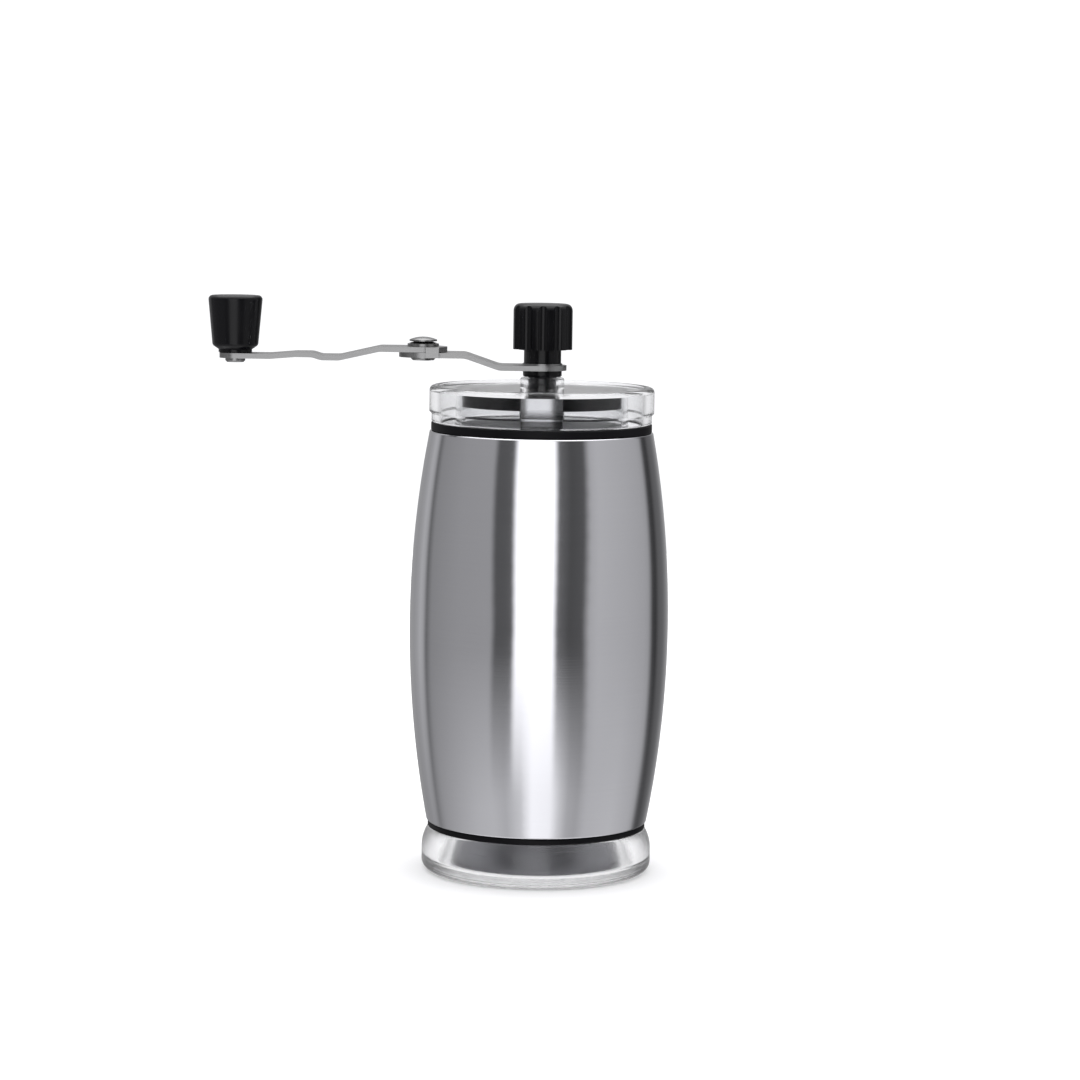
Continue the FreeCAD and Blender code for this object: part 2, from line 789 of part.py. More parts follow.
cone_burr = new_body("cone_burr")
cone_bottom = size.cone_burr_bottom
cone_band = cone_bottom + size.cone_burr_band
cone_top = cone_bottom + size.cone_burr_height
turn_about_z(cone_burr, [
    (0, cone_bottom),
    (size.cone_burr_radius, cone_bottom),
    (size.cone_burr_radius, cone_band),
    (size.cone_burr_top_radius, cone_top),
    (0, cone_top),
])
cone_bore_sketch = new_sketch(cone_burr, "cone_bore_plan", "XY_Plane", cone_bottom)
key_radius = size.shaft_radius + size.slide_gap
key_flat = size.shaft_flat + size.slide_gap
draw_double_d(cone_bore_sketch, key_radius, key_flat)
pocket(cone_burr, "cone_bore", cone_bore_sketch, size.cone_burr_height)
cut_teeth(cone_burr, [
    (size.cone_burr_radius - size.tooth_depth, cone_bottom - dim(1)),
    (size.cone_burr_radius + dim(3), cone_bottom - dim(1)),
    (size.cone_burr_radius + dim(3), cone_top + dim(1)),
    (size.cone_burr_top_radius - size.tooth_depth, cone_top + dim(1)),
    (size.cone_burr_top_radius - size.tooth_depth, cone_top),
    (size.cone_burr_radius - size.tooth_depth, cone_band),
], size.cone_tooth_gap, size.cone_burr_teeth)

# Ring that holds the outer burr in its seat, with its screws

retainer_bottom = seat_bottom - size.retainer_height
retainer = washer("burr_retainer", size.retainer_bore_radius, seat_wall_radius,
                  retainer_bottom, size.retainer_height)
retainer_hole_sketch = new_sketch(retainer, "retainer_hole_round", "XY_Plane", retainer_bottom)
draw_circle(retainer_hole_sketch, size.screw_circle_radius, 0, size.screw_radius + size.slide_gap)
retainer_hole = pocket(retainer, "retainer_hole", retainer_hole_sketch, size.retainer_height)
around_z(retainer, "retainer_holes", retainer_hole, size.screw_count)

screws = new_body("retainer_screws")
screws.AllowCompound = True
head_sketch = new_sketch(screws, "screw_head_round", "XY_Plane", retainer_bottom - size.screw_head_height)
draw_circle(head_sketch, size.screw_circle_radius, 0, size.screw_head_radius)
screw_head = pad(screws, "screw_head", head_sketch, size.screw_head_height)
shank_sketch = new_sketch(screws, "screw_shank_round", "XY_Plane", retainer_bottom - size.screw_head_height)
draw_circle(shank_sketch, size.screw_circle_radius, 0, size.screw_radius)
shank_length = size.screw_head_height + size.retainer_height + size.screw_length
screw_shank = pad(screws, "screw_shank", shank_sketch, shank_length)
screw_set = around_z(screws, "screw_set", screw_head, size.screw_count)
screw_set.Originals = [screw_head, screw_shank]
doc.recompute()

# Spring that holds the cone burr down on its adjuster

spring_seat_bottom = hub_bottom - size.spring_seat_gap - size.spring_seat_height
washer("spring_washer", size.washer_bore_radius, size.thrust_radius,
       spring_seat_bottom, size.spring_seat_height)

spring = new_body("burr_spring")
coil_sketch = new_sketch(spring, "coil_wire", "XZ_Plane")
draw_circle(coil_sketch, size.spring_radius, cone_top + size.spring_wire_radius, size.spring_wire_radius)
coil_rise = spring_seat_bottom - cone_top - size.spring_wire_radius * 2
coil = spring.newObject("PartDesign::AdditiveHelix", "coil")
coil.Profile = coil_sketch
coil.ReferenceAxis = (coil_sketch, ["V_Axis"])
coil.Mode = "height-turns-angle"
coil.Height = coil_rise.value
coil.Turns = size.spring_turns.value
coil.setExpression("Height", coil_rise.text)
coil.setExpression("Turns", size.spring_turns.text)
doc.recompute()

# Click plate and star knob that set the grind

click_bottom = cone_bottom - size.click_height
click = new_body("click_plate")
click_sketch = new_sketch(click, "click_plan", "XY_Plane", click_bottom)
draw_circle(click_sketch, 0, 0, size.click_radius)
draw_double_d(click_sketch, key_radius, key_flat)
pad(click, "click_disc", click_sketch, size.click_height)
dimple_sketch = new_sketch(click, "click_dimple_round", "XY_Plane", click_bottom)
draw_circle(dimple_sketch, size.click_dimple_circle, 0, size.click_dimple_radius)
dimple = pocket(click, "click_dimple", dimple_sketch, size.click_height / 2)
around_z(click, "click_dimple_ring", dimple, size.click_dimples)

adjuster = new_body("adjust_knob")
adjuster_top = click_bottom - size.adjuster_gap
adjuster_bottom = adjuster_top - size.adjuster_height
adjuster_bore = size.shaft_thread_radius + size.slide_gap
adjuster_recess = adjuster_bottom + size.adjuster_recess
adjuster_inner = size.adjuster_hub_radius + size.adjuster_rim
turn_about_z(adjuster, [
    (adjuster_bore, adjuster_bottom),
    (size.adjuster_hub_radius, adjuster_bottom),
    (size.adjuster_hub_radius, adjuster_recess),
    (adjuster_inner, adjuster_recess),
    (adjuster_inner, adjuster_bottom),
    (size.adjuster_radius, adjuster_bottom),
    (size.adjuster_radius, adjuster_top),
    (adjuster_bore, adjuster_top),
])
scoop_sketch = new_sketch(adjuster, "adjust_scoop_round", "XY_Plane", adjuster_bottom)
draw_circle(scoop_sketch, size.adjuster_scoop_circle, 0, size.adjuster_scoop_radius)
scoop = pocket(adjuster, "adjust_scoop", scoop_sketch, size.adjuster_height)
around_z(adjuster, "adjust_scoops", scoop, size.adjuster_scoops)

# Clear lid: outer wall, top plate with a low rim, a boss and a plug ring

lid = new_body("lid")
lid_bore = size.collar_neck_radius + size.slide_gap
lid_inner = size.lid_radius - size.lid_wall
rim_inner = size.lid_radius - size.lid_rim_width
step_top = lid_bottom + size.lid_step_height
plug_bottom = lid_bottom - size.lid_plug_drop
plug_bore = size.lid_plug_radius - size.lid_plug_wall
step_run = size.lid_radius - size.lid_step_radius
turn_about_z(lid, [
    (lid_bore, plate_bottom),
    (plug_bore, plate_bottom),
    (plug_bore, plug_bottom),
    (size.lid_plug_radius, plug_bottom),
    (size.lid_plug_radius, plate_bottom),
    (lid_inner, plate_bottom),
    (lid_inner, lid_bottom),
    (size.lid_step_radius, lid_bottom),
    (size.lid_step_radius, step_top),
    (size.lid_radius, step_top + step_run),
    (size.lid_radius, lid_top),
    (rim_inner, lid_top),
    (rim_inner, plate_top),
    (size.lid_boss_radius, plate_top),
    (size.lid_boss_radius, boss_top),
    (lid_bore, boss_top),
])
soften(lid, "Fillet", [(size.lid_radius, lid_top)], size.lid_round)
small_lid_edges = [
    (rim_inner, lid_top),
    (size.lid_boss_radius, boss_top),
    (size.lid_step_radius, lid_bottom),
]
soften(lid, "Fillet", small_lid_edges, size.seal_round)

# Crank collar, keyed on the shaft and turning in the lid boss

collar = new_body("crank_collar")
collar_foot = collar_bottom - size.collar_neck_height
turn_about_z(collar, [
    (0, collar_foot),
    (size.collar_neck_radius, collar_foot),
    (size.collar_neck_radius, collar_bottom),
    (size.collar_flange_radius, collar_bottom),
    (size.collar_flange_radius, arm_bottom),
    (0, arm_bottom),
])
soften(collar, "Fillet", [(size.collar_flange_radius, collar_bottom)], size.seal_round)
collar_key = new_sketch(collar, "collar_key_plan", "XY_Plane", collar_foot)
draw_double_d(collar_key, key_radius, key_flat)
pocket(collar, "collar_key", collar_key, size.collar_neck_height + size.collar_flange_height)

# Crank arms: bent steel strip, cut to an outline with round ends


def bend_names(shape, low, high):
    """Names of the straight edges along Y that lie between two X values."""
    names = []
    for number, edge in enumerate(shape.Edges, 1):
        first = edge.Vertexes[0].Point
        last = edge.Vertexes[-1].Point
        along_y = abs(first.x - last.x) < 1e-6 and abs(first.z - last.z) < 1e-6
        if along_y and low < first.x < high:
            names.append("Edge%d" % number)
    return names


def bent_strip(label, run, width, bend_round):
    """A strip that follows the run of (x, underside height) points, wide in Y, with round bends."""
    body = new_body(label)
    sketch = new_sketch(body, label + "_side", "XZ_Plane")
    under = [(x, z) for x, z in run]
    over = [(x, z + size.strip_height) for x, z in reversed(run)]
    draw_outline(sketch, under + over)
    strip = body.newObject("PartDesign::Pad", label + "_strip")
    strip.Profile = sketch
    strip.Midplane = True
    strip.setExpression("Length", dim(width).text)
    doc.recompute()
    xs = sorted(dim(x).value for x, z in run)
    bends = body.newObject("PartDesign::Fillet", label + "_bends")
    bends.Base = (strip, bend_names(strip.Shape, xs[0] + 0.1, xs[-1] - 0.1))
    bends.setExpression("Radius", bend_round.text)
    doc.recompute()
    return body


def trim_to_slot(body, near, near_radius, far, far_radius, bottom, height):
    """Cut away all outside the outline of two round ends joined by straight sides."""
    lean = (far_radius - near_radius) / (far - near)
    upright = root(dim(1) - lean * lean)
    near_x = -near - near_radius * lean
    far_x = -far - far_radius * lean
    sketch = new_sketch(body, body.Label + "_plan", "XY_Plane", bottom)
    draw_outline(sketch, [
        (near_x, near_radius * upright),
        (far_x, far_radius * upright, far_radius, 1),
        (-far - far_radius, 0, far_radius, 1),
        (far_x, -(far_radius * upright)),
        (near_x, -(near_radius * upright), near_radius, 1),
        (near_radius - near, 0, near_radius, 1),
    ])
    spare = dim(30)
    draw_box(sketch, -far - spare, spare - near, -spare, spare)
    pocket(body, body.Label + "_trim", sketch, height)


hinge_bottom = arm_bottom + size.arm_rise
inner_end = size.arm_fold_reach + size.arm_eye_radius + dim(1)
inner_arm = bent_strip("crank_arm_inner", [
    (size.arm_eye_radius + dim(1), arm_bottom),
    (-size.arm_bend_near, arm_bottom),
    (-size.arm_bend_far, hinge_bottom),
    (-inner_end, hinge_bottom),
], size.arm_eye_radius * 2 + dim(2), size.arm_bend_round)
trim_to_slot(inner_arm, dim(0), size.arm_eye_radius, size.arm_fold_reach, size.arm_eye_radius,
             arm_bottom - dim(1), size.arm_rise + size.strip_height + dim(2))
arm_key = new_sketch(inner_arm, "inner_key_plan", "XY_Plane", arm_bottom - dim(1))
draw_double_d(arm_key, key_radius, key_flat)
pocket(inner_arm, "inner_key", arm_key, size.strip_height + dim(2))
inner_hole = new_sketch(inner_arm, "inner_hole_round", "XY_Plane", hinge_bottom - dim(1))
draw_circle(inner_hole, -size.arm_fold_reach, 0, size.rivet_radius)
pocket(inner_arm, "inner_hole", inner_hole, size.strip_height + dim(2))

outer_bottom = hinge_bottom + size.strip_height + size.arm_gap
outer_low = outer_bottom - size.outer_drop
outer_tail = outer_low + size.outer_tail_rise
outer_near = size.arm_fold_reach - size.arm_eye_radius - dim(1)
outer_far = size.grip_reach + size.arm_tip_radius + dim(1)
outer_arm = bent_strip("crank_arm_outer", [
    (-outer_near, outer_bottom),
    (-size.outer_drop_start, outer_bottom),
    (-size.outer_drop_end, outer_low),
    (-size.outer_rib_start, outer_low),
    (-size.outer_rib_crest, outer_low + size.outer_rib_rise),
    (-size.outer_rib_end, outer_low + size.outer_rib_rise),
    (-size.outer_tail_start, outer_tail),
    (-outer_far, outer_tail),
], size.arm_eye_radius * 2 + dim(2), size.outer_bend_round)
trim_to_slot(outer_arm, size.arm_fold_reach, size.arm_eye_radius, size.grip_reach, size.arm_tip_radius,
             outer_low - dim(1), size.outer_drop + size.strip_height + dim(2))
outer_hole = new_sketch(outer_arm, "outer_hole_round", "XY_Plane", outer_bottom - dim(1))
draw_circle(outer_hole, -size.arm_fold_reach, 0, size.rivet_radius + size.slide_gap)
pocket(outer_arm, "outer_hole", outer_hole, size.strip_height + dim(2))
pin_hole = new_sketch(outer_arm, "pin_hole_round", "XY_Plane", outer_tail - dim(1))
draw_circle(pin_hole, -size.grip_reach, 0, size.pin_radius)
pocket(outer_arm, "pin_hole", pin_hole, size.strip_height + dim(2))

# Stop lug on the outer arm, bent down beside the front edge of the inner arm
lug_inner = size.arm_eye_radius + size.stop_lug_gap
lug_bottom = outer_bottom - size.stop_lug_drop
lug_plan = new_sketch(outer_arm, "stop_lug_plan", "XY_Plane", lug_bottom)
draw_box(lug_plan, -size.stop_lug_far, -size.stop_lug_near, -lug_inner - size.stop_lug_width, -lug_inner)
pad(outer_arm, "stop_lug", lug_plan, size.stop_lug_drop + size.strip_height)
web_plan = new_sketch(outer_arm, "stop_web_plan", "XY_Plane", outer_bottom)
draw_box(web_plan, -size.stop_lug_far, -size.stop_lug_near, -lug_inner - dim(0.1), dim(-5))
pad(outer_arm, "stop_web", web_plan, size.strip_height)

# Rivet and dished washer of the folding joint

rivet = new_body("fold_rivet")
outer_top = outer_bottom + size.strip_height
dish_bottom = outer_top + size.slide_gap
dish_top = dish_bottom + size.fold_washer_height + size.fold_washer_dish
head_bottom = dish_top + size.slide_gap
dome_bottom = head_bottom + size.rivet_head_height
dome_top = dome_bottom + size.rivet_dome_height
dome_arc = (size.rivet_head_radius * size.rivet_head_radius
            + size.rivet_dome_height * size.rivet_dome_height) / (size.rivet_dome_height * 2)
rivet_foot = hinge_bottom - size.rivet_foot_height
turn_about_z(rivet, [
    (0, rivet_foot),
    (size.rivet_foot_radius, rivet_foot),
    (size.rivet_foot_radius, hinge_bottom),
    (size.rivet_radius, hinge_bottom),
    (size.rivet_radius, head_bottom),
    (size.rivet_head_radius, head_bottom),
    (size.rivet_head_radius, dome_bottom, dome_arc, 1),
    (0, dome_top),
])
soften(rivet, "Chamfer", [(size.rivet_foot_radius, rivet_foot)], size.rivet_foot_chamfer)
shift_x(rivet, -size.arm_fold_reach)

fold_washer = new_body("fold_washer")
dish_bore = size.rivet_radius + size.slide_gap
turn_about_z(fold_washer, [
    (dish_bore, dish_bottom + size.fold_washer_dish),
    (size.fold_washer_radius, dish_bottom),
    (size.fold_washer_radius, dish_bottom + size.fold_washer_height),
    (dish_bore, dish_top),
])
shift_x(fold_washer, -size.arm_fold_reach)

# Thumb nut with a brass thread insert, over a thin washer

washer("lock_washer", size.shaft_thread_radius + size.slide_gap * 2, size.lock_washer_radius,
       arm_top, size.lock_washer_height)

nut = new_body("thumb_nut")
grip_bottom = nut_bottom + size.nut_neck_height
nut_top = grip_bottom + size.nut_height
socket_top = nut_bottom + size.nut_socket_depth
relief_top = socket_top + size.nut_relief_depth
relief_radius = size.shaft_radius
turn_about_z(nut, [
    (size.nut_socket_radius, nut_bottom),
    (size.nut_neck_radius, nut_bottom),
    (size.nut_neck_radius, grip_bottom),
    (size.nut_radius, grip_bottom),
    (size.nut_radius, nut_top),
    (0, nut_top),
    (0, relief_top),
    (relief_radius, relief_top),
    (relief_radius, socket_top),
    (size.nut_socket_radius, socket_top),
])
soften(nut, "Fillet", [(size.nut_radius, nut_top)], size.nut_round)
flute_sketch = new_sketch(nut, "nut_flute_round", "XY_Plane", grip_bottom - dim(0.5))
draw_circle(flute_sketch, size.nut_flute_circle, 0, size.nut_flute_radius)
flute = pocket(nut, "nut_flute", flute_sketch, size.nut_height + dim(1))
around_z(nut, "nut_flute_ring", flute, size.nut_flutes)

washer("nut_insert", size.shaft_thread_radius + size.slide_gap, size.nut_socket_radius,
       socket_top - size.nut_insert_height, size.nut_insert_height)

# Grip knob on its pin, closed by a small cap

grip_base = outer_tail + size.strip_height + size.grip_gap
knob_top = grip_base + size.grip_height
well_floor = knob_top - size.grip_well_depth
cap_floor = knob_top - size.grip_cap_height
neck_top = grip_base + size.grip_neck_height
shoulder = neck_top + size.grip_shoulder_height
pin_bore = size.pin_radius + size.slide_gap
knob = new_body("grip_knob")
turn_about_z(knob, [
    (pin_bore, grip_base),
    (size.grip_neck_radius, grip_base),
    (size.grip_neck_radius, neck_top),
    (size.grip_shoulder_radius, shoulder),
    (size.grip_top_radius, knob_top),
    (size.grip_cap_radius, knob_top),
    (size.grip_cap_radius, cap_floor),
    (size.grip_well_radius, cap_floor),
    (size.grip_well_radius, well_floor),
    (pin_bore, well_floor),
])
soften(knob, "Fillet", [(size.grip_top_radius, knob_top)], size.grip_round)
soften(knob, "Fillet", [(size.grip_shoulder_radius, shoulder)], size.grip_round)
shift_x(knob, -size.grip_reach)

cap = new_body("grip_cap")
crown_arc = (size.grip_cap_radius * size.grip_cap_radius
             + size.grip_cap_crown * size.grip_cap_crown) / (size.grip_cap_crown * 2)
turn_about_z(cap, [
    (0, cap_floor),
    (size.grip_cap_radius, cap_floor),
    (size.grip_cap_radius, knob_top, crown_arc, 1),
    (0, knob_top + size.grip_cap_crown),
])
shift_x(cap, -size.grip_reach)

pin_body = new_body("grip_pin")
pin_head = well_floor + size.pin_head_gap
turn_about_z(pin_body, [
    (0, outer_tail - size.pin_foot_height),
    (size.pin_foot_radius, outer_tail - size.pin_foot_height),
    (size.pin_foot_radius, outer_tail),
    (size.pin_radius, outer_tail),
    (size.pin_radius, pin_head),
    (size.pin_head_radius, pin_head),
    (size.pin_head_radius, pin_head + size.pin_head_height),
    (0, pin_head + size.pin_head_height),
])
soften(pin_body, "Chamfer", [(size.pin_foot_radius, outer_tail - size.pin_foot_height)], size.shaft_chamfer)
shift_x(pin_body, -size.grip_reach)

# Check every object and write one file per piece

doc.recompute()
for item in doc.Objects:
    if "Invalid" in item.State or "Error" in item.State:
        raise ValueError("%s did not compute" % item.Label)
os.makedirs("parts", exist_ok=True)
for item in doc.Objects:
    if item.TypeId != "PartDesign::Body":
        continue
    if item.Shape.isNull() or not item.Shape.isValid():
        raise ValueError("%s has no sound shape" % item.Label)
    item.Shape.exportStep("parts/%s.step" % item.Label)
    box = item.Shape.BoundBox
    print("%-16s %9.1f mm3  z %7.2f to %7.2f" % (item.Label, item.Shape.Volume, box.ZMin, box.ZMax))
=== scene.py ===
import json
import math

import bpy
from mathutils import Matrix


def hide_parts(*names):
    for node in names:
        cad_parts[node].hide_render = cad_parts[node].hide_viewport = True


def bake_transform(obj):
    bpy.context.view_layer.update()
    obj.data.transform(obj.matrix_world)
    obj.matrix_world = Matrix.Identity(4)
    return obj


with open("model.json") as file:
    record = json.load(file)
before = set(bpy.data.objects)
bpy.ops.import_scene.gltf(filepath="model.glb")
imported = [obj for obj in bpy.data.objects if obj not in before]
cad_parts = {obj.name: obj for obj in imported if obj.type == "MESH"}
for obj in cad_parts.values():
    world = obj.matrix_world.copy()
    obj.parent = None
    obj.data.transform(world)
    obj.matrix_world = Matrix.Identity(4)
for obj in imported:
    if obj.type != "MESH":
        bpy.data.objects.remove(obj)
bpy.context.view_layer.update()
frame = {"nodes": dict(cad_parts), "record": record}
nodes = frame["nodes"]
scene = bpy.context.scene

# Shader helpers


class Shader:
    """A small wrapper that adds nodes and links them in one call."""

    def __init__(self, tree):
        self.tree = tree
        self.tree.nodes.clear()

    def add(self, kind, inputs=None, **settings):
        """A new node with its settings, and its inputs set or linked."""
        node = self.tree.nodes.new(kind)
        for name, value in settings.items():
            setattr(node, name, value)
        for name, value in (inputs or {}).items():
            self.join(value, node.inputs[name])
        return node

    def join(self, value, socket):
        """Link a node's output to a socket, or set the socket to a plain value."""
        if isinstance(value, bpy.types.NodeSocket):
            self.tree.links.new(value, socket)
        else:
            socket.default_value = value

    def math(self, operation, first, second=0.0):
        return self.add("ShaderNodeMath", {0: first, 1: second}, operation=operation).outputs[0]

    def mix(self, factor, low, high):
        """A number between two."""
        return self.add("ShaderNodeMix", {0: factor, 2: low, 3: high}, data_type="FLOAT").outputs[0]

    def mix_colours(self, factor, low, high):
        """A colour between two, each a tuple or the output of a node."""
        ends = [end if isinstance(end, bpy.types.NodeSocket) else (*end, 1.0) for end in (low, high)]
        inputs = {0: factor, 6: ends[0], 7: ends[1]}
        return self.add("ShaderNodeMix", inputs, data_type="RGBA").outputs[2]

    def ramp(self, factor, stops):
        """A black to white ramp with stops of (place, level)."""
        node = self.add("ShaderNodeValToRGB", {"Fac": factor})
        elements = node.color_ramp.elements
        while len(elements) < len(stops):
            elements.new(0.5)
        for element, (place, level) in zip(elements, sorted(stops)):
            element.position = place
            element.color = (level, level, level, 1.0)
        return node.outputs["Color"]

    def spread(self, value, low, high, out_low=0.0, out_high=1.0):
        """A value from low to high, mapped to the range from out_low to out_high and kept in it."""
        return self.add("ShaderNodeMapRange", {
            "Value": value, "From Min": low, "From Max": high, "To Min": out_low, "To Max": out_high,
        }).outputs[0]

    def noise(self, vector, scale, detail, roughness):
        return self.add("ShaderNodeTexNoise", {
            "Vector": vector, "Scale": scale, "Detail": detail, "Roughness": roughness,
        }).outputs["Fac"]

    def place(self):
        """Object coordinates in metres."""
        return self.add("ShaderNodeTexCoord").outputs["Object"]

    def stretched(self, factors):
        """Object coordinates scaled by a factor on each axis."""
        inputs = {0: self.place(), 1: factors}
        return self.add("ShaderNodeVectorMath", inputs, operation="MULTIPLY").outputs[0]

    def axes(self, vector):
        """The X, Y and Z outputs of a vector, by name."""
        return self.add("ShaderNodeSeparateXYZ", {0: vector}).outputs

    def bump(self, height, strength, distance):
        return self.add("ShaderNodeBump", {
            "Height": height, "Strength": strength, "Distance": distance,
        }).outputs[0]


def surface(name):
    """A new material: its shader wrapper and its main shader node."""
    material = bpy.data.materials.new(name)
    material.use_nodes = True
    shader = Shader(material.node_tree)
    main = shader.add("ShaderNodeBsdfPrincipled")
    shader.add("ShaderNodeOutputMaterial", {"Surface": main.outputs[0]})
    return material, shader, main


def plug(shader, main, **inputs):
    """Set or link inputs of the main shader node; underscores stand for spaces."""
    for name, value in inputs.items():
        shader.join(value, main.inputs[name.replace("_", " ")])


# Materials. Scales are in waves per metre, and most of a noise lies between the two levels here

NOISE_LOW, NOISE_HIGH = 0.3, 0.7
GRAIN_DEPTH = 0.0002
CLOUD_SCALE = 45.0
LINE_SHARE, CLOUD_SHARE = 0.6, 0.4
GLOSS_SCALE = 90.0
FLOW_SCALE = 60.0
FLOW_DEPTH = 0.0004
CLEAR_INDEX = 1.3
HAZE = 0.1
HAZE_FULL_BELOW, HAZE_NONE_ABOVE = 0.014, 0.03
BASE_TINT_BELOW, LID_TINT_ABOVE = 0.04, 0.12


def brushed_metal(name, low, high, grain, rough, bump=0.02, painted_shade=None):
    """Metal with fine lines across the grain vector, and a slow cloudiness.

    Where painted shade is asked for, as (low z, high z, colour), the metal is painted towards that colour
    below: a painted shade, not a finish.
    """
    material, shader, main = surface(name)
    lines = shader.noise(shader.stretched(grain), 1.0, 3.0, 0.6)
    clouds = shader.noise(shader.place(), CLOUD_SCALE, 3.0, 0.5)
    both = shader.math("ADD", shader.math("MULTIPLY", lines, LINE_SHARE),
                       shader.math("MULTIPLY", clouds, CLOUD_SHARE))
    colour = shader.mix_colours(both, low, high)
    # Painted shade: below the given heights the colour fades to the dark shade colour
    if painted_shade:
        bottom, top, shade = painted_shade
        bright_share = shader.spread(shader.axes(shader.place())["Z"], bottom, top)
        colour = shader.mix_colours(bright_share, shade, colour)
    plug(shader, main, Metallic=1.0, Base_Color=colour,
         Roughness=shader.spread(both, NOISE_LOW, NOISE_HIGH, *rough),
         Normal=shader.bump(lines, bump, GRAIN_DEPTH))
    return material


def moulded(name, low, high, rough, grain=2500.0, bump=0.05, gloss=0.5):
    """Moulded plastic, rubber or ceramic with a fine grain and a slow change of gloss."""
    material, shader, main = surface(name)
    fine = shader.noise(shader.place(), grain, 2.0, 0.5)
    slow = shader.noise(shader.place(), GLOSS_SCALE, 3.0, 0.5)
    plug(shader, main, Base_Color=shader.mix_colours(slow, low, high),
         Roughness=shader.spread(slow, NOISE_LOW, NOISE_HIGH, *rough),
         Normal=shader.bump(fine, bump, GRAIN_DEPTH), Specular_IOR_Level=gloss)
    return material


def clear_plastic(name):
    """Clear moulded acrylic with faint flow marks: greyer in the lid, hazier at the foot of the base."""
    material, shader, main = surface(name)
    flow = shader.noise(shader.place(), FLOW_SCALE, 2.0, 0.5)
    height = shader.axes(shader.place())["Z"]
    haze = shader.spread(height, HAZE_FULL_BELOW, HAZE_NONE_ABOVE, HAZE, 0.0)
    base_tint = shader.mix_colours(flow, (0.960, 0.961, 0.965), (0.970, 0.971, 0.975))
    lid_tint = shader.mix_colours(flow, (0.915, 0.918, 0.925), (0.935, 0.938, 0.943))
    lid_share = shader.spread(height, BASE_TINT_BELOW, LID_TINT_ABOVE)
    plug(shader, main, Base_Color=shader.mix_colours(lid_share, base_tint, lid_tint),
         Transmission_Weight=1.0, IOR=CLEAR_INDEX,
         Roughness=shader.math("ADD", shader.spread(flow, NOISE_LOW, NOISE_HIGH, 0.05, 0.08), haze),
         Normal=shader.bump(flow, 0.03, FLOW_DEPTH))
    return material


ACROSS = (6.0, 6.0, 2600.0)
ALONG_X = (60.0, 2600.0, 2600.0)
SPECKLED = (900.0, 900.0, 900.0)
CLOUDED = (40.0, 40.0, 40.0)
# Painted shade on the bridge legs: darker towards their feet, standing in for the shade where they stand
# in the hopper
LEG_PAINTED_SHADE = (0.1440, 0.1464, (0.08, 0.08, 0.085))
looks = {
    "barrel_steel": brushed_metal("barrel_steel_look", (0.67, 0.67, 0.70), (0.73, 0.73, 0.76),
                                  ACROSS, rough=(0.07, 0.12)),
    "cup_steel": brushed_metal("cup_steel_look", (0.12, 0.12, 0.13), (0.18, 0.18, 0.19),
                               ACROSS, rough=(0.2, 0.3), bump=0.005),
    "bridge_steel": brushed_metal("bridge_steel_look", (0.80, 0.80, 0.81), (0.88, 0.88, 0.89),
                                  CLOUDED, rough=(0.1, 0.18), painted_shade=LEG_PAINTED_SHADE),
    "strip_steel": brushed_metal("strip_steel_look", (0.26, 0.26, 0.26), (0.36, 0.36, 0.36),
                                 ALONG_X, rough=(0.32, 0.45)),
    "rivet_steel": brushed_metal("rivet_steel_look", (0.24, 0.24, 0.24), (0.32, 0.32, 0.32),
                                 SPECKLED, rough=(0.26, 0.36)),
    "shaft_steel": brushed_metal("shaft_steel_look", (0.5, 0.5, 0.51), (0.6, 0.6, 0.61),
                                 ACROSS, rough=(0.15, 0.25)),
    "spring_steel": brushed_metal("spring_steel_look", (0.36, 0.36, 0.38), (0.46, 0.46, 0.48),
                                  SPECKLED, rough=(0.2, 0.32)),
    "insert_brass": brushed_metal("insert_brass_look", (0.62, 0.44, 0.18), (0.74, 0.55, 0.26),
                                  ACROSS, rough=(0.18, 0.3)),
    "seal_rubber": moulded("seal_rubber_look", (0.002, 0.002, 0.003), (0.005, 0.005, 0.006),
                           rough=(0.38, 0.5), grain=1800.0, bump=0.08, gloss=0.1),
    "hopper_plastic": moulded("hopper_plastic_look", (0.78, 0.78, 0.79), (0.86, 0.86, 0.87),
                              rough=(0.3, 0.42)),
    "liner_plastic": moulded("liner_plastic_look", (0.003, 0.003, 0.004), (0.007, 0.007, 0.008),
                             rough=(0.3, 0.42), gloss=0.1),
    "knob_plastic": moulded("knob_plastic_look", (0.002, 0.002, 0.003), (0.004, 0.004, 0.005),
                            rough=(0.16, 0.26), gloss=0.22),
    "bush_nylon": moulded("bush_nylon_look", (0.70, 0.67, 0.58), (0.80, 0.77, 0.68),
                          rough=(0.4, 0.5)),
    "burr_ceramic": moulded("burr_ceramic_look", (0.74, 0.70, 0.62), (0.84, 0.81, 0.74),
                            rough=(0.35, 0.5), grain=1500.0, bump=0.12),
    "clear_acrylic": clear_plastic("clear_acrylic_look"),
}
slot_of = {piece["node"]: piece["material_slot"] for piece in frame["record"]["subparts"]}
for name, thing in nodes.items():
    look = looks[slot_of[name]]
    for index in range(len(thing.data.materials)):
        thing.data.materials[index] = look

# Clear pieces let the light through to what they hold

for name in ("lid", "clear_base"):
    nodes[name].visible_shadow = False

# The burr spring, between its seat on the shaft and the cone burr, is drawn by a copy of its mesh; the CAD
# spring is hidden

spring = bpy.data.objects.new("stretching_spring", nodes["burr_spring"].data.copy())
spring.matrix_world = nodes["burr_spring"].matrix_world.copy()
scene.collection.objects.link(spring)
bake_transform(spring)
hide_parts("burr_spring")

# Camera: a long lens, a little above the lid and looking down six degrees

CAMERA_PLACE = (0.0, -1.0599, 0.21805)
LOOKS_DOWN = math.radians(6.15)
CAMERA_ROLL = math.radians(0.8)

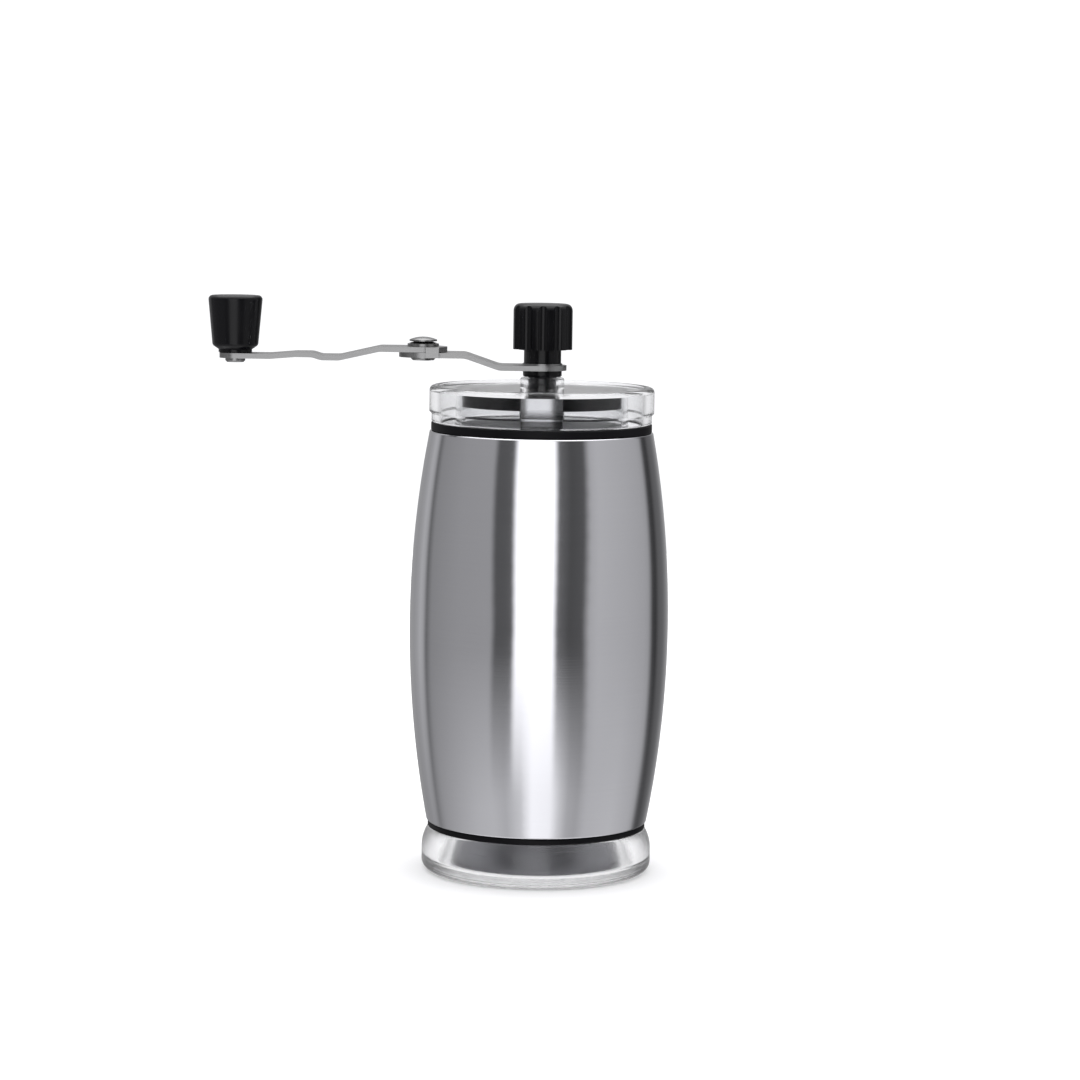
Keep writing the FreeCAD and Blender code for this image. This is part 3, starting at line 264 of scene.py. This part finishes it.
camera_data = bpy.data.cameras.new("camera")
camera_data.lens = 113.67
camera_data.sensor_width = 36.0
camera_data.clip_end = 50.0
camera = bpy.data.objects.new("camera", camera_data)
scene.collection.objects.link(camera)
pitch = Matrix.Rotation(math.pi / 2.0 - LOOKS_DOWN, 3, "X")
roll = Matrix.Rotation(CAMERA_ROLL, 3, "Z")
camera.rotation_euler = (pitch @ roll).to_euler()
camera.location = CAMERA_PLACE
scene.camera = camera

# Studio: panels of light and shade round the grinder, as seen from its axis.
# An azimuth of 0 faces the camera and grows to the right; levels are brightness.

PANELS_HIGH = [
    (-180, 0.40), (-168, 0.36), (-152, 0.36), (-143, 0.42), (-136, 0.52), (-130, 0.46), (-124, 0.16),
    (-116, 0.31), (-80, 0.38), (-48, 0.40), (-43, 0.11), (-27, 0.12), (-22, 1.70), (13, 1.70),
    (18, 0.16), (30, 0.09), (43, 0.11), (50, 0.52), (58, 0.58), (90, 0.52), (112, 0.47), (119, 0.42),
    (126, 0.07), (132, 0.05), (139, 0.13), (150, 0.16), (160, 0.26), (172, 0.40),
]
PANELS_LOW = [
    (-180, 0.40), (-165, 0.25), (-136, 0.26), (-122, 0.30), (-110, 0.43), (-64, 0.60), (-46, 0.63),
    (-32, 0.56), (-16, 0.78), (-5, 1.32), (14, 1.25), (23, 0.80), (32, 0.53), (42, 0.47), (54, 0.60),
    (85, 0.65), (112, 0.57), (122, 0.47), (130, 0.16), (138, 0.06), (146, 0.12), (158, 0.25), (172, 0.40),
]
FLOOR_PANELS = [
    (-180, 1.00), (-110, 1.00), (-75, 1.50), (-55, 1.15), (-33, 0.32), (-22, 0.42), (-8, 0.85), (4, 0.90),
    (15, 0.45), (25, 0.25), (34, 0.42), (52, 1.15), (75, 1.50), (110, 1.00),
]
TOP_LEVEL = 2.0
STUDIO_TINT = (0.985, 0.985, 1.0, 1.0)

# Heights in degrees over the horizon, each as (where it begins, where it is full)
LOW_PANELS_AT = (-9.0, -27.0)
CEILING_AT = (22.0, 40.0)
GROUND_AT = (-40.0, -58.0)
CEILING_LEVEL = 0.9
GROUND_LEVEL = 0.95

# The belly of the barrel mirrors a height of 6 degrees down, where the front panels are drawn in
BELLY_SEES = math.radians(-6.0)
NARROW_REACH = math.radians(18.0)
NARROW_MOST = 0.14
NARROW_LIMIT = 0.6

# What shows through clear plastic, and what the camera sees behind the grinder
BACK_BEGINS, BACK_FULL = 0.65, 0.88
BACK_LEVEL = 1.0
SIDE_DIMMING = 0.65
SEEN_LEVEL = 1.1


def turn_of(shader, axes):
    """Azimuth of a direction or place, in radians."""
    return shader.math("ARCTAN2", axes["X"], shader.math("MULTIPLY", axes["Y"], -1.0))


def panel_level(shader, turn, panels):
    """Brightness of the panels at an azimuth in radians."""
    stops = [((angle + 180.0) / 360.0, level / TOP_LEVEL) for angle, level in panels]
    level = shader.ramp(shader.spread(turn, -math.pi, math.pi), stops)
    return shader.math("MULTIPLY", level, TOP_LEVEL)


def share_at(shader, height, limits):
    """From 0 where a height range begins to 1 where it is full."""
    begins, full = limits
    return shader.spread(height, math.radians(begins), math.radians(full))


world = bpy.data.worlds.new("studio")
scene.world = world
world.use_nodes = True
sky = Shader(world.node_tree)
direction = sky.axes(sky.add("ShaderNodeTexCoord").outputs["Generated"])
turn = turn_of(sky, direction)
height = sky.math("ARCSINE", direction["Z"])
off_belly = sky.math("ABSOLUTE", sky.math("SUBTRACT", height, BELLY_SEES))
narrowing = sky.spread(off_belly, 0.0, NARROW_REACH, NARROW_MOST, 0.0)
front_turn = sky.math("MAXIMUM", sky.math("MINIMUM", turn, NARROW_LIMIT), -NARROW_LIMIT)
narrowed = sky.math("ADD", turn, sky.math("MULTIPLY", front_turn, narrowing))
walls = sky.mix(share_at(sky, height, LOW_PANELS_AT), panel_level(sky, narrowed, PANELS_HIGH),
                panel_level(sky, narrowed, PANELS_LOW))
roofed = sky.mix(share_at(sky, height, CEILING_AT), walls, CEILING_LEVEL)
level = sky.mix(share_at(sky, height, GROUND_AT), roofed, GROUND_LEVEL)
path = sky.add("ShaderNodeLightPath").outputs
back_share = sky.spread(direction["Y"], BACK_BEGINS, BACK_FULL)
behind = sky.math("MULTIPLY", path["Is Transmission Ray"], back_share)
aside = sky.math("MULTIPLY", level, sky.mix(path["Is Transmission Ray"], 1.0, SIDE_DIMMING))
shown = sky.mix(path["Is Camera Ray"], sky.mix(behind, aside, BACK_LEVEL), SEEN_LEVEL)
backdrop = sky.add("ShaderNodeBackground", {"Color": STUDIO_TINT, "Strength": shown})
sky.add("ShaderNodeOutputWorld", {"Surface": backdrop.outputs[0]})

# Pale floor, kept out of reflections so that the steel shows the panels.
# Through clear plastic it glows, evenly under the base and with panels of its own farther out.

FLOOR_HALF, FLOOR_NEAR, FLOOR_FAR = 0.6, -0.3, 0.9
FLOOR_DROP = 0.0002
UNDER_BASE, CLEAR_OF_BASE = 0.044, 0.052
UNDER_BASE_GLOW = 0.97
BLACK = (0.0, 0.0, 0.0)

floor_data = bpy.data.meshes.new("floor")
floor_corners = [(-FLOOR_HALF, FLOOR_NEAR, 0.0), (FLOOR_HALF, FLOOR_NEAR, 0.0),
                 (FLOOR_HALF, FLOOR_FAR, 0.0), (-FLOOR_HALF, FLOOR_FAR, 0.0)]
floor_data.from_pydata(floor_corners, [], [(0, 1, 2, 3)])
floor = bpy.data.objects.new("floor", floor_data)
floor.location.z = -FLOOR_DROP
scene.collection.objects.link(floor)
floor_look, floor_shader, floor_main = surface("floor_look")
speck = floor_shader.noise(floor_shader.place(), 12.0, 2.0, 0.5)
pale = floor_shader.mix_colours(speck, (0.93, 0.93, 0.935), (0.95, 0.95, 0.955))
spot = floor_shader.place()
spot_level = panel_level(floor_shader, turn_of(floor_shader, floor_shader.axes(spot)), FLOOR_PANELS)
reach = floor_shader.add("ShaderNodeVectorMath", {0: spot}, operation="LENGTH").outputs["Value"]
glow = floor_shader.mix(floor_shader.spread(reach, UNDER_BASE, CLEAR_OF_BASE), UNDER_BASE_GLOW, spot_level)
clear_view = floor_shader.add("ShaderNodeLightPath").outputs["Is Transmission Ray"]
plug(floor_shader, floor_main, Roughness=0.9,
     Base_Color=floor_shader.mix_colours(clear_view, pale, BLACK),
     Emission_Color=STUDIO_TINT,
     Emission_Strength=floor_shader.math("MULTIPLY", clear_view, glow))
floor_data.materials.append(floor_look)
floor.visible_glossy = False

# Soft light from overhead

overhead_data = bpy.data.lights.new("overhead", "SUN")
overhead_data.energy = 2.4
overhead_data.angle = math.radians(80.0)
overhead = bpy.data.objects.new("overhead", overhead_data)
overhead.rotation_euler = (math.radians(-8.0), 0.0, 0.0)
scene.collection.objects.link(overhead)

scene.view_settings.view_transform = "Standard"

# Light runs a long way inside the thick clear plastic

BOUNCES = 40
scene.cycles.max_bounces = BOUNCES
scene.cycles.glossy_bounces = BOUNCES
scene.cycles.transmission_bounces = BOUNCES
